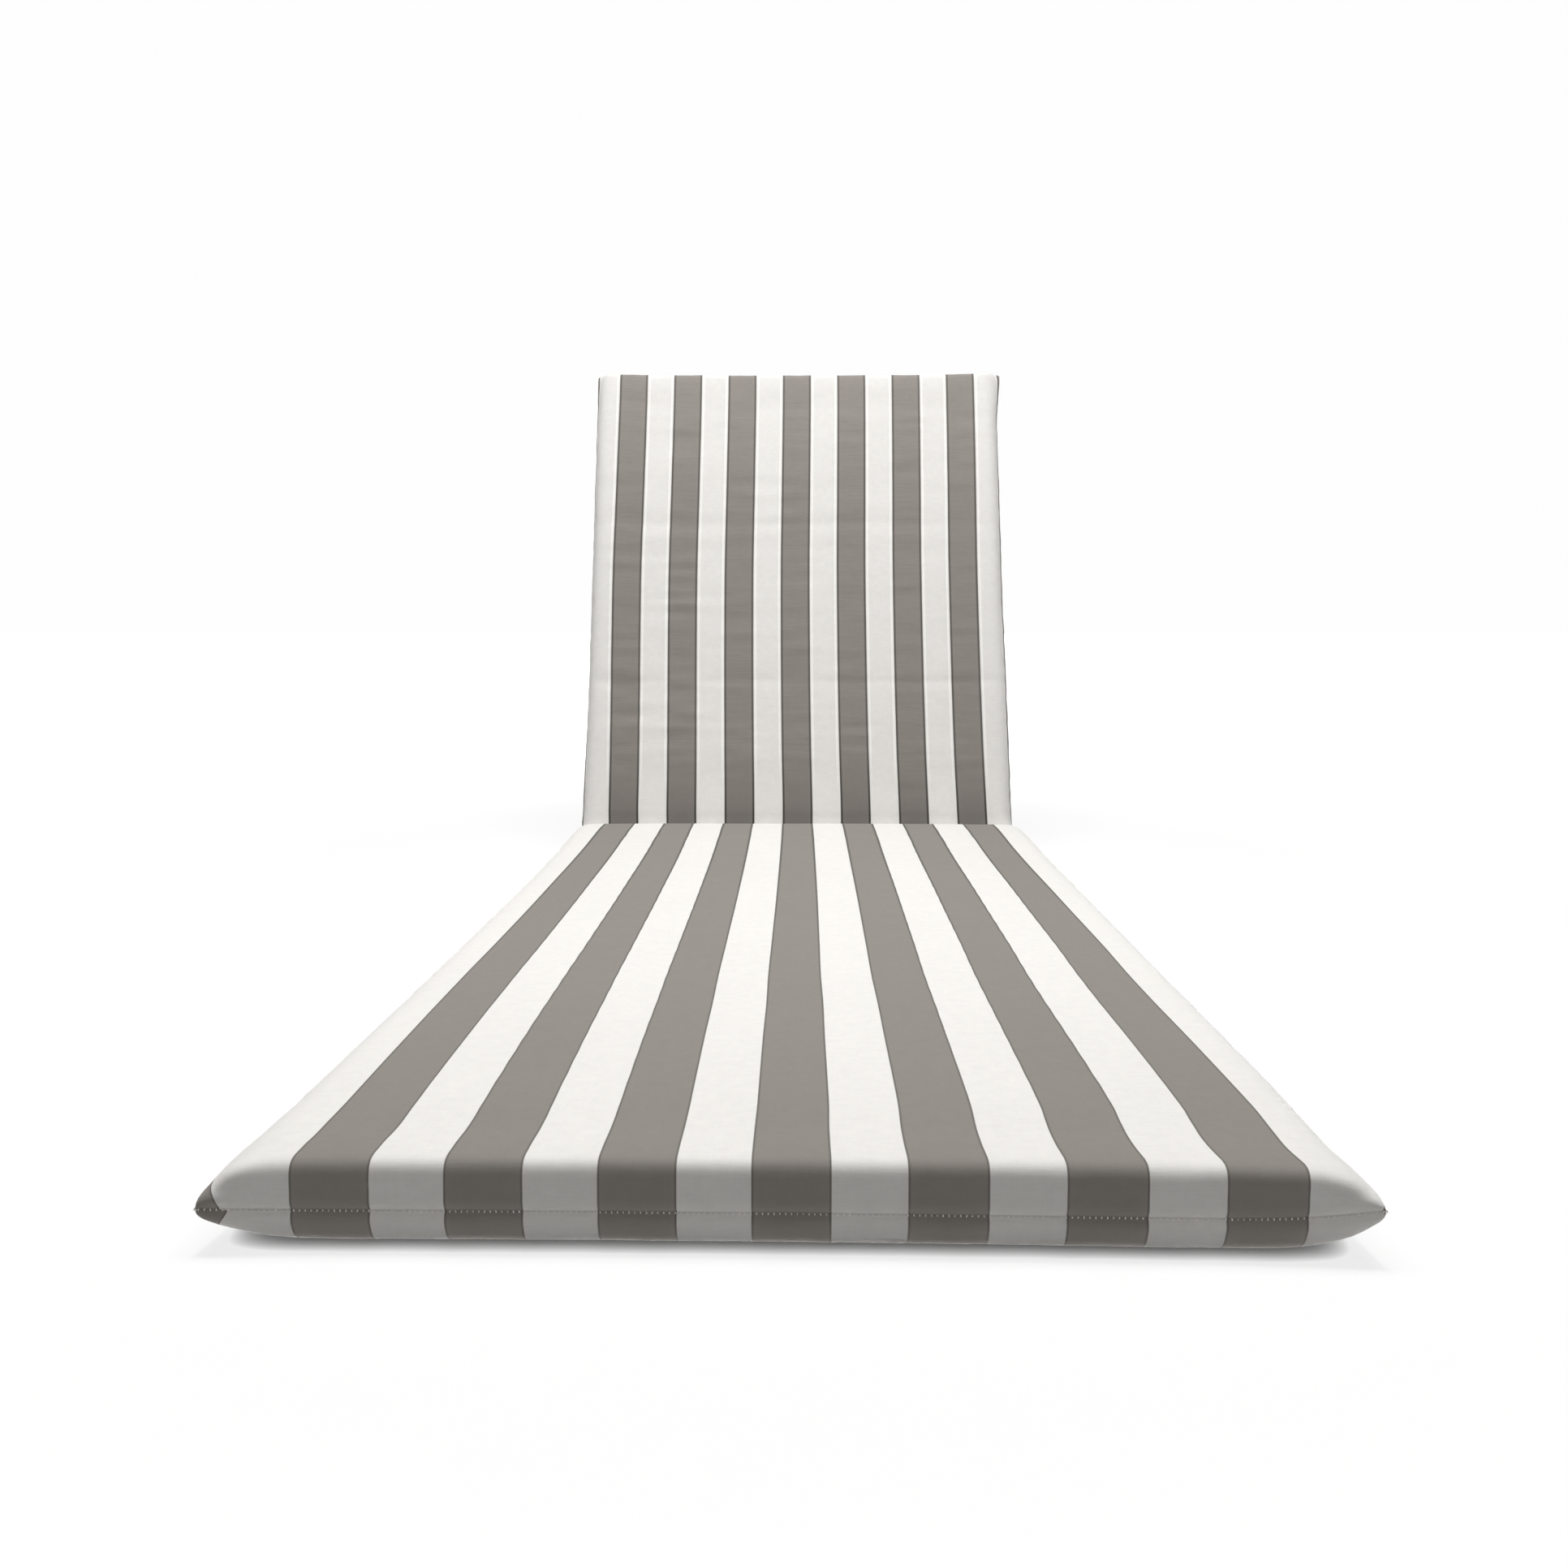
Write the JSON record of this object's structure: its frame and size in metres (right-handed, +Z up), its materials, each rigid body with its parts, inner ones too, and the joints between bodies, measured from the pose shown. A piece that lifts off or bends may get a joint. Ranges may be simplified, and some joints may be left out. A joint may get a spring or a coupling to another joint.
{
  "type": "sun lounger cushion",
  "caption": "Long padded lounger cushion with broad lengthwise stripes, bent into a flat seat section and a raised back section.",
  "frame": {"origin": "on the floor, under the middle of the whole cushion", "axes": "+X across the width, +Y from the foot end to the raised back, +Z up"},
  "size_m": [0.6134, 1.4529, 0.6874],
  "materials": {
    "striped_cover": "matte woven"
  },
  "bodies": {
    "root": {"cushion": "striped_cover"}
  },
  "joints": []
}
